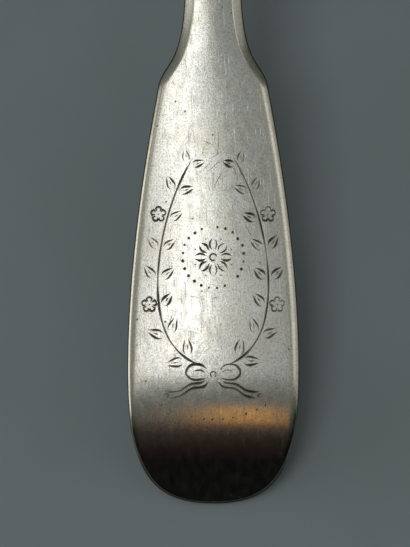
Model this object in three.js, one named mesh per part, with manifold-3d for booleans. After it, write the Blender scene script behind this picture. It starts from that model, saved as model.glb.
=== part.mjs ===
// A stew spoon of fiddle form in silver: a bowl raised from sheet, and a forged handle
// whose foot laps under the bowl as the drop and is joined to it by a film of hard solder.
//
// The spoon lies face up, as on a table, on the worn flat under its bowl and on the end of
// its turned-down handle. Millimetres, +Z up, +Y from the end of the handle towards the
// bowl's point, X = 0 the plane of symmetry. Y = 0 is the middle of the whole length.

import * as THREE from "three";
import { mergeVertices, toCreasedNormals } from "three/addons/utils/BufferGeometryUtils.js";
import Module from "manifold-3d";

const wasm = await Module();
wasm.setup();

// Bowl, measured outside its rim
const bowlLength = 102;
const bowlWidth = 61;
const heelFullness = 0.14; // how much broader the heel end is than the pointed end
const deepestFromHeel = 47; // the length from the heel to the deepest point
const heelRimHeight = 21; // the rim above the table at the heel
const pointRimHeight = 25; // and at the point
const rimSheer = 1.2; // how far the rim dips between those two
const rimWall = 1.4;
const floorWall = 1.2;
const rimRound = 0.4; // how far the rim's round top stands above its two edges
const hollowPower = 2.4; // 2 is a parabola; more has a flatter floor and steeper sides
const wornFlatLength = 11;

// Handle, measured along its face from its end to the bowl's heel
const handleLength = 211;
const fiddleLength = 77.6; // end to the corners of the shoulders
const bellyFromEnd = 27; // where the fiddle is widest
const neckLength = 17.4; // shoulders to stem
const waistFromHeel = 74; // where the stem is narrowest
const finLength = 8; // of the small fins beside the heel
const finFlare = 8; // the run over which the stem flares out to them
const finOverlap = 2; // how far they run on past the heel, to where the bowl's side has curved away
const dropLength = 24; // of the drop under the bowl
const fiddleWidth = 31;
const shoulderWidth = 20.2;
const neckWidth = 10.4;
const waistWidth = 8;
const rootWidth = 9.4; // of the stem where the fins begin
const finWidth = 14.6;
const dropWidth = 11.4;
const dropEdge = 1; // thickness of the drop at its round end

// The bends, in degrees. The pitch of the fiddle isn't set: it is what lets the end rest.
const tipBend = 30;
const tipBendStart = 5; // from the end
const tipBendLength = 22;
const heelSlope = 18; // how steeply the face falls into the bowl
const archLength = 130; // the run in which the stem bends down to that slope

// Thickness of the forging
const endThickness = 2.2;
const fiddleThickness = 2;
const shoulderThickness = 2.3;
const neckThickness = 3;
const waistThickness = 4;
const rootThickness = 4.7;
const heelThickness = 5;

// Edges of the forging: how far its face is domed, the width of the bevel along the edges of
// the face, and the width of the rounding along the edges of the back
const faceDome = 0.5;
const endBevel = 0.6;
const fiddleBevel = 1.5;
const neckBevel = 1.7;
const stemBevel = 2;
const heelBevel = 1.6;
const fiddleRound = 0.8;
const neckRound = 1.2;
const stemRound = 2.2;
const heelRound = 4.2;

// Past the corners of the shoulders the bevel turns from a rounding into a flatter facet with
// a crease along the face: how flat, from 0 to 1, and the run over which it turns.
const facetShare = 0.7;
const facetRun = 3;

// The section at stations along the handle. A bevel or rounding is its width and the share of
// the thickness that it takes.
const sections = [
  {
    at: 0,
    thick: endThickness,
    dome: 0,
    bevel: [endBevel, 0.2],
    round: [fiddleRound, 0.25],
  },
  {
    at: bellyFromEnd,
    thick: fiddleThickness,
    dome: faceDome,
    bevel: [fiddleBevel, 0.35],
    round: [fiddleRound, 0.2],
  },
  {
    at: 0.78 * fiddleLength,
    thick: shoulderThickness,
    dome: faceDome,
    bevel: [fiddleBevel, 0.33],
    round: [fiddleRound, 0.18],
  },
  {
    at: fiddleLength + 0.4 * neckLength,
    thick: neckThickness,
    dome: faceDome,
    bevel: [neckBevel, 0.3],
    round: [neckRound, 0.23],
  },
  {
    at: handleLength - waistFromHeel,
    thick: waistThickness,
    dome: faceDome,
    bevel: [stemBevel, 0.3],
    round: [stemRound, 0.28],
  },
  {
    at: handleLength - finLength - finFlare,
    thick: rootThickness,
    dome: faceDome,
    bevel: [stemBevel, 0.26],
    round: [stemRound, 0.32],
  },
  {
    at: handleLength,
    thick: heelThickness,
    dome: faceDome,
    bevel: [heelBevel, 0.16],
    round: [heelRound, 0.52],
  },
];

// The joint between handle and bowl, and the film of solder that fills it
const jointGap = 0.3;
const solderClearance = 0.05;

// How finely the surfaces are cut into facets
const sectionHalfSteps = 9;
const bowlSides = 72;
const bowlRings = 14;

// A closed surface through rings of equally many points, with its ends closed by fans.
function loft(rings) {
  const around = rings[0].length;
  const points = rings.flat();
  const faces = [];
  for (let r = 0; r + 1 < rings.length; r++) {
    for (let i = 0; i < around; i++) {
      const a = r * around + i;
      const b = r * around + ((i + 1) % around);
      faces.push(a, b, a + around, b, b + around, a + around);
    }
  }
  [rings[0], rings.at(-1)].forEach((ring, end) => {
    const middle = ring.reduce((sum, p) => sum.add(p), new THREE.Vector3()).divideScalar(around);
    const centre = points.push(middle) - 1;
    const first = end * (rings.length - 1) * around;
    for (let i = 0; i < around; i++) {
      const [a, b] = [first + i, first + ((i + 1) % around)];
      faces.push(...(end ? [a, b, centre] : [b, a, centre]));
    }
  });
  return new THREE.BufferGeometry().setFromPoints(points).setIndex(faces);
}

function toSolid(geometry) {
  const { index, attributes } = mergeVertices(geometry, 1e-4);
  const vertProperties = attributes.position.array;
  const triVerts = Uint32Array.from(index.array);
  return new wasm.Manifold(new wasm.Mesh({ numProp: 3, vertProperties, triVerts }));
}

function toGeometry(solid) {
  const mesh = solid.getMesh();
  return new THREE.BufferGeometry()
    .setAttribute("position", new THREE.BufferAttribute(mesh.vertProperties, 3))
    .setIndex(new THREE.BufferAttribute(mesh.triVerts, 1));
}

// Bowl. Its plan is an egg: x = sin(a) (1 + fullness cos(a)), y = -cos(a), from the heel
// round to the point. The egg's breadth peaks a little over 1, so it is divided by that peak.
const breadthPeak = (() => {
  const f = heelFullness;
  const c = (Math.sqrt(1 + 8 * f * f) - 1) / (4 * f);
  return Math.sqrt(1 - c * c) * (1 + f * c);
})();

// The height of the rim over a point at y along the bowl, with the heel at y = 0.
function rimHeight(y) {
  const u = y / bowlLength;
  return heelRimHeight + (pointRimHeight - heelRimHeight) * u - 4 * rimSheer * u * (1 - u);
}

// How far up the bowl's side the skin has climbed at a share of the way out from the deepest
// point, past the flat that wear has left there.
const wornFlatShare = wornFlatLength / bowlLength;
const climbAt = (share) => Math.max(0, (share - wornFlatShare) / (1 - wornFlatShare)) ** hollowPower;

// A ring of the bowl's skin at that share. grow widens the skin's outline, floor is its
// lowest height and lift raises the ring.
function skinRing({ share, grow, floor, lift = 0 }) {
  return Array.from({ length: bowlSides }, (_, i) => {
    const a = (2 * Math.PI * i) / bowlSides;
    const x = ((bowlWidth / 2 + grow) / breadthPeak) * Math.sin(a) * (1 + heelFullness * Math.cos(a));
    const y = bowlLength / 2 - (bowlLength / 2 + grow) * Math.cos(a);
    const z = floor + (rimHeight(y) - floor) * climbAt(share) + lift;
    return new THREE.Vector3(share * x, deepestFromHeel + share * (y - deepestFromHeel), z);
  });
}

const ringShares = Array.from(
  { length: bowlRings },
  (_, i) => wornFlatShare + ((1 - wornFlatShare) * i) / (bowlRings - 1),
);
const skin = (grow, floor) => ringShares.map((share) => skinRing({ share, grow, floor }));

function bowlShape() {
  const crown = [0.25, 0.5, 0.75].map((t) =>
    skinRing({ share: 1, grow: -rimWall * (1 - t), floor: 0, lift: rimRound * Math.sin(Math.PI * t) }),
  );
  return loft([...skin(0, 0), ...crown.reverse(), ...skin(-rimWall, floorWall).reverse()]);
}

// The space that the bowl takes out of the handle: its outer skin, grown, and all above it.
function bowlSpace(grow) {
  const above = skinRing({ share: 1, grow, floor: -grow, lift: heelRimHeight });
  return toSolid(loft([...skin(grow, -grow), above]));
}

// Handle. Its plan is half of a flat blank: x is the distance from the end, y the half width.
// Between its two round ends it is a smooth curve through these places. slope is the curve's
// slope there, before and after are how much of each stretch it holds that slope for, and
// steps is the number of facets in the stretch that ends there.
const dropEnd = handleLength + dropLength;
const neck = fiddleLength + neckLength;
const waist = handleLength - waistFromHeel;
const finStart = handleLength - finLength;
const roundEnd = { steps: 16 };
const places = [
  { at: bellyFromEnd, half: fiddleWidth / 2, slope: 0, after: 0.426 },
  { at: fiddleLength, half: shoulderWidth / 2, slope: -0.174, before: 0.124, after: 0.291, steps: 19 },
  { at: neck, half: neckWidth / 2, slope: -0.036, before: 0.798, after: 0.22, steps: 12 },
  { at: waist, half: waistWidth / 2, slope: 0, before: 0.4, after: 0.4, steps: 10 },
  { at: finStart - finFlare, half: rootWidth / 2, slope: 0.02, before: 0.3, after: 0.6, steps: 14 },
  { at: finStart, half: finWidth / 2, slope: 0.06, before: 0.5, after: 0.3, steps: 6 },
  { at: handleLength + finOverlap, half: finWidth / 2, slope: 0, before: 0.3, after: 0.45, steps: 4 },
  { at: handleLength + 0.55 * dropLength, half: dropWidth / 2, slope: 0, before: 0.5, steps: 4 },
];
const roundDrop = { steps: 8 };

const blank = new THREE.Path().moveTo(0, 0);
const halfFiddle = fiddleWidth / 2;
blank.bezierCurveTo(0, 0.67 * halfFiddle, 0.19 * bellyFromEnd, halfFiddle, bellyFromEnd, halfFiddle);
places.slice(1).forEach((to, i) => {
  const from = places[i];
  const lead = from.after * (to.at - from.at);
  const trail = to.before * (to.at - from.at);
  blank.bezierCurveTo(
    from.at + lead,
    from.half + lead * from.slope,
    to.at - trail,
    to.half - trail * to.slope,
    to.at,
    to.half,
  );
});
blank.bezierCurveTo(dropEnd - 0.15 * dropLength, dropWidth / 2, dropEnd, 0.36 * dropWidth, dropEnd, 0);

const finer = 24; // outline points per station, for measuring distances to the edge
const steps = [roundEnd, ...places.slice(1), roundDrop].map((stretch) => stretch.steps);
const outline = blank.curves.flatMap((curve, i) => curve.getSpacedPoints(steps[i] * finer).slice(i ? 1 : 0));
const stations = outline.filter((p, i) => i % finer === 0 && i > 0 && i < outline.length - 1);

// The distance from a point of the blank to its nearest edge.
const edgeDistance = (along, across) =>
  Math.min(...outline.map((p) => Math.hypot(p.x - along, p.y - Math.abs(across))));

// One measure of the section, read off the stations as a smooth curve.
function schedule(read) {
  const curve = new THREE.CubicInterpolant(sections.map((s) => s.at), sections.map(read), 1);
  return (along) => curve.evaluate(Math.min(along, handleLength))[0];
}
const section = {
  thick: schedule((s) => s.thick),
  dome: schedule((s) => s.dome),
  bevelWidth: schedule((s) => s.bevel[0]),
  bevelDepth: schedule((s) => s.bevel[1] * s.thick),
  roundWidth: schedule((s) => s.round[0]),
  roundDepth: schedule((s) => s.round[1] * s.thick),
};

// How far an edge falls at a distance in from it, between a quarter ellipse and a chamfer.
function edgeFall(distance, width, depth, facet = 0) {
  const outward = Math.max(0, 1 - distance / width);
  return depth * (facet * outward + (1 - facet) * (1 - Math.sqrt(1 - outward ** 2)));
}

const smooth = (u) => THREE.MathUtils.smoothstep(u, 0, 1);

// The slope of the face in radians, rising towards the bowl.
function faceSlope(along, pitch) {
  const tip = tipBend * (1 - smooth((along - tipBendStart) / tipBendLength));
  const arch = (pitch + heelSlope) * smooth((along - handleLength + archLength) / archLength);
  return THREE.MathUtils.degToRad(pitch + tip - arch);
}

// The middle of the face, walked in small steps from the heel to the end and to the drop.
const stepsToHeel = 800;
const walkStep = handleLength / stepsToHeel;
function walkFace(pitch) {
  const line = new Map();
  for (const way of [-1, 1]) {
    let [y, z] = [-jointGap, heelRimHeight];
    for (let i = stepsToHeel; i >= 0 && i * walkStep <= dropEnd + walkStep; i += way) {
      line.set(i, { y, z });
      const slope = faceSlope((i + way / 2) * walkStep, pitch);
      y += way * walkStep * Math.cos(slope);
      z += way * walkStep * Math.sin(slope);
    }
  }
  return (along) => {
    const i = Math.floor(along / walkStep);
    const share = along / walkStep - i;
    const [from, to] = [line.get(i), line.get(i + 1)];
    return { y: from.y + share * (to.y - from.y), z: from.z + share * (to.z - from.z) };
  };
}

// The height above the table of the lowest point of the handle's turned-down end. It is in
// the first quarter of the bend, where the nearest edge is the end itself.
function endClearance(pitch) {
  const face = walkFace(pitch);
  const samples = 60;
  const heights = Array.from({ length: samples }, (_, i) => {
    const along = ((i / samples) * tipBendLength) / 4;
    const fall = edgeFall(along, section.roundWidth(along), section.roundDepth(along));
    return face(along).z - (section.thick(along) - fall) * Math.cos(faceSlope(along, pitch));
  });
  return Math.min(...heights);
}

// The pitch at which the end just touches the table, found by halving.
const pitch = (() => {
  let [low, high] = [-45, 45];
  for (let i = 0; i < 40; i++) {
    const middle = (low + high) / 2;
    if (endClearance(middle) > 0) low = middle;
    else high = middle;
  }
  return low;
})();
const face = walkFace(pitch);

// A point of the handle: along the face, across it, and above or below it.
function onHandle(along, across, rise) {
  const slope = faceSlope(along, pitch);
  const { y, z } = face(along);
  return new THREE.Vector3(across, y - rise * Math.sin(slope), z + rise * Math.cos(slope));
}

// The depth under the face, on the middle line, at which the bowl's back lies.
function depthToBowl(along) {
  let [near, far] = [0, 2 * heelRimHeight];
  for (let i = 0; i < 40; i++) {
    const depth = (near + far) / 2;
    const { y, z } = onHandle(along, 0, -depth);
    const share = (deepestFromHeel - y) / deepestFromHeel;
    if (z > heelRimHeight * climbAt(share)) near = depth;
    else far = depth;
  }
  return near;
}

// The thickness under the face. Past the heel it is the bowl's depth there and the drop's
// own metal, which thins out towards its round end.
function thickness(along) {
  if (along <= handleLength) return section.thick(along);
  const left = (dropEnd - along) / dropLength;
  return depthToBowl(along) + dropEdge + (section.thick(handleLength) - dropEdge) * left ** 2;
}

function handleRing({ x: along, y: halfWidth }) {
  const thick = thickness(along);
  const across = Array.from({ length: 2 * sectionHalfSteps + 1 }, (_, i) =>
    halfWidth * Math.sin((Math.PI / 2) * (i / sectionHalfSteps - 1)),
  );
  const facet = facetShare * smooth((along - fiddleLength) / facetRun);
  const bevel = [section.bevelWidth(along), section.bevelDepth(along), facet];
  const top = across.map((x) => {
    const fall = edgeFall(edgeDistance(along, x), ...bevel);
    return onHandle(along, x, -fall - section.dome(along) * (x / halfWidth) ** 2);
  });
  const back = across.map((x) => {
    const fall = edgeFall(edgeDistance(along, x), section.roundWidth(along), section.roundDepth(along));
    return onHandle(along, x, fall - thick);
  });
  return [...top, ...back.reverse()];
}

const handleBar = toSolid(loft(stations.map(handleRing)));
const handleSolid = handleBar.subtract(bowlSpace(jointGap));

// The solder fills the joint wherever the bar lies against the bowl.
const solderSolid = handleBar
  .intersect(bowlSpace(jointGap - solderClearance))
  .subtract(bowlSpace(solderClearance));

function piece(name, geometry, material) {
  const mesh = new THREE.Mesh(toCreasedNormals(geometry, 0.6), material);
  mesh.name = name;
  return mesh;
}

const silver = { color: "#c9c6ba", metalness: 1 };
const spoon = new THREE.Group();
spoon.name = "stew_spoon";
spoon.add(
  piece("bowl", bowlShape(), new THREE.MeshStandardMaterial({ ...silver, roughness: 0.28 })),
  piece("handle", toGeometry(handleSolid), new THREE.MeshStandardMaterial({ ...silver, roughness: 0.34 })),
  piece(
    "solder_seam",
    toGeometry(solderSolid),
    new THREE.MeshStandardMaterial({ color: "#a8a496", metalness: 1, roughness: 0.5 }),
  ),
);

// Bring the middle of the whole length to the origin.
const { min, max } = new THREE.Box3().setFromObject(spoon);
spoon.position.y = -(min.y + max.y) / 2;

export default spoon;
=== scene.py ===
# %% [markdown]
# # A worn silver stew spoon
#
# The object is a long serving spoon of fiddle form, made of sterling silver by hand. The
# photograph looks down on the wide end of its handle, which is engraved and worn. A spoon
# like this is two pieces of silver, a forged handle and a bowl raised from sheet, with hard
# solder between them, and this script makes the same three pieces.
#
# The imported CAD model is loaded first. It fixes where everything is, in metres, with the
# spoon's length along Y and the table at Z = 0. Modelling by hand is easier in millimetres,
# so the pieces are made in millimetres and brought to metres when they are finished.

# %% Load the frame
import math
import random
from bisect import bisect
from functools import cache
from itertools import accumulate, pairwise

import bmesh
import bpy
from mathutils import Matrix, Vector, kdtree, noise
from mathutils.geometry import interpolate_bezier


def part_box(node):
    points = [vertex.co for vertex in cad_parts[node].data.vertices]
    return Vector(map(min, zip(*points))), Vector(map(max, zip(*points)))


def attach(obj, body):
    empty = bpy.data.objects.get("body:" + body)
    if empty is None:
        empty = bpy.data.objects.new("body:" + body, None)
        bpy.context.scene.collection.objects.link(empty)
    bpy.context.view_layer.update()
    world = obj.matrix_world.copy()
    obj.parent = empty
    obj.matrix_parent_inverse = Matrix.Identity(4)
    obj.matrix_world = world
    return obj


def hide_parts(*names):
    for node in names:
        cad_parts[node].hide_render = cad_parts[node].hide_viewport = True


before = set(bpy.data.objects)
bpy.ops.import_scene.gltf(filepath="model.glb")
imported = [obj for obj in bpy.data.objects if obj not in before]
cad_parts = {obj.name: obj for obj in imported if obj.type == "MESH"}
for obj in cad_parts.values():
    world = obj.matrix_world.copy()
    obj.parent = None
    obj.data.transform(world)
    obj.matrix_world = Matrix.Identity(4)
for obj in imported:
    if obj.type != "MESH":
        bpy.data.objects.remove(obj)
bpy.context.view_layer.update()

MM = 0.001
print("nodes:", sorted(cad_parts))


def node_box(name):
    """The lowest and highest corners of a CAD node, in millimetres."""
    return [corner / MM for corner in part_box(name)]


bowl_low, bowl_high = node_box("bowl")
handle_low, handle_high = node_box("handle")
heel_y = bowl_low.y  # where handle and bowl meet; the pieces are made with it at Y = 0
print(f"heel at Y = {heel_y:.2f} mm, end of the handle at Y = {handle_low.y:.2f} mm")

# %% [markdown]
# ## The line of the face
#
# A silversmith draws a spoon from the side first. The line of the handle's face starts at
# the turned-down end, runs up over the fiddle, arches along the stem and dips at the heel
# into the bowl. Its slope at each place says everything: the line is found by walking along
# it in short steps. One angle is left open, the pitch of the fiddle, because the end of the
# handle has to touch the table. It is found by halving, as one would bend the stem a little
# less each time until the spoon lies right.

# %% The slope of the face
HANDLE_LENGTH = 211  # along the face, from the end to the heel
TIP_BEND = 30  # degrees that the end turns down
TIP_BEND_START = 5
TIP_BEND_LENGTH = 22
HEEL_SLOPE = 18  # how steeply the face falls into the bowl
ARCH_LENGTH = 130
HEEL_RIM_HEIGHT = 21  # of the bowl's rim above the table
JOINT_GAP = 0.3  # between handle and bowl, filled with solder
PAST_HEEL = 26  # how far the line runs on under the bowl, a little longer than the drop
WALK_STEPS = 800


def smooth(u):
    """0 to 1 with a soft start and a soft end."""
    u = min(max(u, 0), 1)
    return u * u * (3 - 2 * u)


def face_slope(along, pitch):
    tip = TIP_BEND * (1 - smooth((along - TIP_BEND_START) / TIP_BEND_LENGTH))
    arch = (pitch + HEEL_SLOPE) * smooth((along - HANDLE_LENGTH + ARCH_LENGTH) / ARCH_LENGTH)
    return math.radians(pitch + tip - arch)


def walk_face(pitch):
    """Points on the middle of the face, one for each step from the end to under the bowl."""
    step = HANDLE_LENGTH / WALK_STEPS
    line = {}
    for way in (-1, 1):
        y, z = -JOINT_GAP, HEEL_RIM_HEIGHT
        i = WALK_STEPS
        while 0 <= i <= WALK_STEPS + PAST_HEEL / step:
            line[i] = Vector((0, y, z))
            slope = face_slope((i + way / 2) * step, pitch)
            y += way * step * math.cos(slope)
            z += way * step * math.sin(slope)
            i += way
    return [line[i] for i in sorted(line)]


def between(line, along):
    """A point of a walked line at a distance from its start."""
    i, share = divmod(along / HANDLE_LENGTH * WALK_STEPS, 1)
    return line[int(i)].lerp(line[int(i) + 1], share)


# %% [markdown]
# ## The section of the forging
#
# The handle is hammered and filed to one section after another: thin and broad at the
# fiddle, thick and narrow at the heel. The face is slightly domed with a bevel along its
# edges, and the back has rounded edges. The sizes are given at seven stations, and a smooth
# curve through them gives the rest, as a file leaves it.

# %% The sizes at stations along the handle
SHOULDERS = 77.6  # from the end to the corners of the shoulders
FACET_SHARE = 0.7  # how flat the bevel is past the shoulders, 1 for quite flat
FACET_RUN = 3  # the length over which it flattens
STEEPEST_PITCH = 45

# Bevel and rounding are given as their width and the share of the thickness that they take
SECTIONS = [
    {"at": 0, "thick": 2.2, "dome": 0, "bevel": (0.6, 0.2), "round": (0.8, 0.25)},
    {"at": 27, "thick": 2, "dome": 0.5, "bevel": (1.5, 0.35), "round": (0.8, 0.2)},
    {"at": 60.5, "thick": 2.3, "dome": 0.5, "bevel": (1.5, 0.33), "round": (0.8, 0.18)},
    {"at": 84.6, "thick": 3, "dome": 0.5, "bevel": (1.7, 0.3), "round": (1.2, 0.23)},
    {"at": 137, "thick": 4, "dome": 0.5, "bevel": (2, 0.3), "round": (2.2, 0.28)},
    {"at": 195, "thick": 4.7, "dome": 0.5, "bevel": (2, 0.26), "round": (2.2, 0.32)},
    {"at": 211, "thick": 5, "dome": 0.5, "bevel": (1.6, 0.16), "round": (4.2, 0.52)},
]


def schedule(read):
    """One size as a smooth curve through its values at the stations."""
    places = [station["at"] for station in SECTIONS]
    values = [read(station) for station in SECTIONS]
    rises = [(b - a) / (q - p) for (p, q), (a, b) in zip(pairwise(places), pairwise(values))]
    slopes = [(a + b) / 2 for a, b in zip(rises[:1] + rises, rises + rises[-1:])]

    def size(along):
        i = min(max(bisect(places, along) - 1, 0), len(rises) - 1)
        run = places[i + 1] - places[i]
        u = min(max((along - places[i]) / run, 0), 1)
        start = (2 * u**3 - 3 * u**2 + 1) * values[i] + (u**3 - 2 * u**2 + u) * run * slopes[i]
        end = (3 * u**2 - 2 * u**3) * values[i + 1] + (u**3 - u**2) * run * slopes[i + 1]
        return start + end

    return size


metal_thickness = schedule(lambda s: s["thick"])
dome_height = schedule(lambda s: s["dome"])
bevel_width = schedule(lambda s: s["bevel"][0])
bevel_depth = schedule(lambda s: s["bevel"][1] * s["thick"])
round_width = schedule(lambda s: s["round"][0])
round_depth = schedule(lambda s: s["round"][1] * s["thick"])


def bevel_facet(along):
    """Past the shoulders the bevel turns from a rounding into a flatter facet with a crease."""
    return FACET_SHARE * smooth((along - SHOULDERS) / FACET_RUN)


def edge_fall(distance, width, depth, facet=0):
    """How far an edge has fallen at a distance in from it: a quarter ellipse, or a flat facet."""
    outward = max(0, 1 - distance / width)
    return depth * (facet * outward + (1 - facet) * (1 - math.sqrt(1 - outward**2)))


def end_clearance(pitch, samples=60):
    """The height over the table of the lowest point of the turned-down end."""
    line = walk_face(pitch)

    def underside(along):
        fall = edge_fall(along, round_width(along), round_depth(along))
        upright = math.cos(face_slope(along, pitch))
        return between(line, along).z - (metal_thickness(along) - fall) * upright

    return min(underside(TIP_BEND_LENGTH / 4 * i / samples) for i in range(samples))


def halve(low, high, too_low, times):
    """The value between low and high where too_low turns from true to false."""
    for _ in range(times):
        middle = (low + high) / 2
        if too_low(middle):
            low = middle
        else:
            high = middle
    return middle


pitch = halve(0, STEEPEST_PITCH, lambda pitch: end_clearance(pitch) > 0, times=24)
face_line = walk_face(pitch)
print(f"the fiddle rises at {pitch:.2f} degrees and clears the table by {end_clearance(pitch):.4f} mm")


def on_handle(along, across, rise):
    """A point of the handle: along its face, across it, and above or below it."""
    slope = face_slope(along, pitch)
    return between(face_line, along) + Vector((across, -rise * math.sin(slope), rise * math.cos(slope)))


# %% [markdown]
# ## The outline of the blank
#
# Seen from above, the handle is a flat blank cut to an outline, half of which is drawn here
# as Bezier curves: distance from the end, and half the width there. The places are the
# round end, the widest part, the corners of the shoulders, the neck, the waist of the stem,
# the small fins beside the heel, and the round drop that laps under the bowl.
#
# Two things are read off the outline: the rings of points that the solid is built on, and,
# for every point of the face, how far it is from the nearest edge, so that the bevel runs
# round the end and the shoulders at an even width. A k-d tree finds that distance quickly.

# %% The outline of the blank
HALF_FIDDLE = (handle_high.x - handle_low.x) / 2
DROP_LENGTH = 24
DROP_WIDTH = 11.4
BELLY = 27  # from the end to the widest place
DROP_END = HANDLE_LENGTH + DROP_LENGTH
RING_SPACING = 0.75
FINER = 24  # how many times finer the outline is than the rings

# Where the Bezier handles of the two round ends lie, as shares of the sizes that they follow
END_FULLNESS = 0.67
BELLY_FULLNESS = 0.19
DROP_ROUNDING = 0.15
DROP_FULLNESS = 0.36

# Place, half width and slope there, and how much of the stretches before and after keeps it
PLACES = [
    (BELLY, HALF_FIDDLE, 0, 0, 0.426),
    (SHOULDERS, 10.1, -0.174, 0.124, 0.291),
    (95, 5.2, -0.036, 0.798, 0.22),
    (137, 4, 0, 0.4, 0.4),
    (195, 4.7, 0.02, 0.3, 0.6),
    (203, 7.3, 0.06, 0.5, 0.3),
    (213, 7.3, 0, 0.3, 0.45),
    (224.2, DROP_WIDTH / 2, 0, 0.5, 0),
]


def bezier(*knots, count=600):
    return interpolate_bezier(*[Vector((*knot, 0)) for knot in knots], count)


def evenly(points, spacing):
    """Points at equal steps along a line of points, about spacing apart."""
    walked = list(accumulate(((q - p).length for p, q in pairwise(points)), initial=0))
    steps = math.ceil(walked[-1] / spacing)
    result = []
    for k in range(steps + 1):
        here = walked[-1] * k / steps
        i = min(bisect(walked, here) - 1, len(points) - 2)
        result.append(points[i].lerp(points[i + 1], (here - walked[i]) / (walked[i + 1] - walked[i])))
    return result


round_end = (0, END_FULLNESS * HALF_FIDDLE), (BELLY_FULLNESS * BELLY, HALF_FIDDLE)
curves = [bezier((0, 0), *round_end, (BELLY, HALF_FIDDLE))]
for (at, half, slope, _, after), (to, to_half, to_slope, before, _) in pairwise(PLACES):
    lead, trail = after * (to - at), before * (to - at)
    handles = (at + lead, half + lead * slope), (to - trail, to_half - trail * to_slope)
    curves.append(bezier((at, half), *handles, (to, to_half)))
round_start = DROP_END - DROP_ROUNDING * DROP_LENGTH
round_drop = (round_start, DROP_WIDTH / 2), (DROP_END, DROP_FULLNESS * DROP_WIDTH)
curves.append(bezier(curves[-1][-1].xy, *round_drop, (DROP_END, 0)))

stations = [p for curve in curves for p in evenly(curve, RING_SPACING)[1:]][:-1]
outline = [curves[0][0]] + [p for curve in curves for p in evenly(curve, RING_SPACING / FINER)[1:]]
outline_places = [p.x for p in outline]
edge_tree = kdtree.KDTree(len(outline))
for i, point in enumerate(outline):
    edge_tree.insert(point, i)
edge_tree.balance()
print(f"{len(stations)} rings from the end to the drop")


@cache
def half_width(along):
    """Half the width of the blank at a distance from its end."""
    i = min(max(bisect(outline_places, along), 1), len(outline) - 1)
    before, after = outline[i - 1], outline[i]
    share = (along - before.x) / (after.x - before.x) if after.x > before.x else 0
    return before.y + (after.y - before.y) * min(max(share, 0), 1)


def edge_distance(along, across):
    return edge_tree.find((along, abs(across), 0))[2]


def face_rise(along, across):
    """The height of the domed and bevelled face against its middle line, which is 0."""
    bevel = bevel_width(along), bevel_depth(along), bevel_facet(along)
    fall = edge_fall(edge_distance(along, across), *bevel)
    half = half_width(along)
    return -fall - dome_height(along) * (min(across**2 / half**2, 1) if half else 1)


# %% [markdown]
# ## The bowl
#
# A bowl is raised from a disc of sheet by hammering it over a stake. Its plan is an egg,
# broader at the heel, and years on the table have worn a small flat under its deepest part.
# It could be a stretched half sphere, but a spoon's floor is flatter and its sides steeper
# than that, so each ring of it gets its place from a formula for the egg and another for
# the climb of the side.
#
# The skin starts as a disc, the worn flat. Its rim edges are extruded ring after ring: out
# and up the outside, over the rounded rim, and down the inside, where the last ring is
# closed. The angle of each point round the egg is kept in a layer, which bmesh copies along
# with every extruded point.

# %% The egg-shaped skin
BOWL_LENGTH = bowl_high.y - bowl_low.y
BOWL_WIDTH = bowl_high.x - bowl_low.x
HEEL_FULLNESS = 0.14  # how much broader the egg is at the heel, 0 for an ellipse
DEEPEST = 47  # from the heel
POINT_RIM_HEIGHT = 25
RIM_SHEER = 1.2  # how far the rim dips between its ends
RIM_WALL = 1.4
FLOOR_WALL = 1.2
RIM_ROUND = 0.4  # how far the top of the rim rises above its edges
CROWN_STEPS = 8
HOLLOW_POWER = 2.4  # 2 for a plain bowl shape, more for a flatter floor and steeper sides
WORN_FLAT = 11 / 102  # share of the way from the deepest point to the rim
SIDES = 144
RINGS = 44

fullest = (math.sqrt(1 + 8 * HEEL_FULLNESS**2) - 1) / (4 * HEEL_FULLNESS)
breadth_peak = math.sqrt(1 - fullest**2) * (1 + HEEL_FULLNESS * fullest)


def rim_height(y):
    u = y / BOWL_LENGTH
    return HEEL_RIM_HEIGHT + (POINT_RIM_HEIGHT - HEEL_RIM_HEIGHT) * u - 4 * RIM_SHEER * u * (1 - u)


def climb_at(share):
    return max(0, (share - WORN_FLAT) / (1 - WORN_FLAT)) ** HOLLOW_POWER


def skin_point(angle, share, grow, floor, lift=0):
    """A point of the bowl's skin: round the egg, and a share of the way out to its rim."""
    breadth = (BOWL_WIDTH / 2 + grow) / breadth_peak
    x = breadth * math.sin(angle) * (1 + HEEL_FULLNESS * math.cos(angle))
    y = BOWL_LENGTH / 2 - (BOWL_LENGTH / 2 + grow) * math.cos(angle)
    z = floor + (rim_height(y) - floor) * climb_at(share) + lift
    return Vector((share * x, DEEPEST + share * (y - DEEPEST), z))


def egg_shell(rings):
    """A closed shell through rings of the skin, each given as the settings of skin_point."""
    bm = bmesh.new()
    turn = bm.verts.layers.float.new("turn")
    bmesh.ops.create_circle(bm, segments=SIDES, radius=1, cap_ends=True)
    for v in bm.verts:
        v[turn] = math.atan2(v.co.x, -v.co.y)
        v.co = skin_point(v[turn], *rings[0])
    rim = list(bm.edges)
    for ring in rings[1:]:
        grown = bmesh.ops.extrude_edge_only(bm, edges=rim)["geom"]
        for v in (g for g in grown if isinstance(g, bmesh.types.BMVert)):
            v.co = skin_point(v[turn], *ring)
        rim = [g for g in grown if isinstance(g, bmesh.types.BMEdge) and g.is_boundary]
    bmesh.ops.holes_fill(bm, edges=rim, sides=0)
    bmesh.ops.recalc_face_normals(bm, faces=bm.faces)
    caps = [face for face in bm.faces if len(face.verts) > 4]
    bmesh.ops.poke(bm, faces=caps)
    return bm


shares = [WORN_FLAT + (1 - WORN_FLAT) * i / RINGS for i in range(RINGS + 1)]


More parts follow.
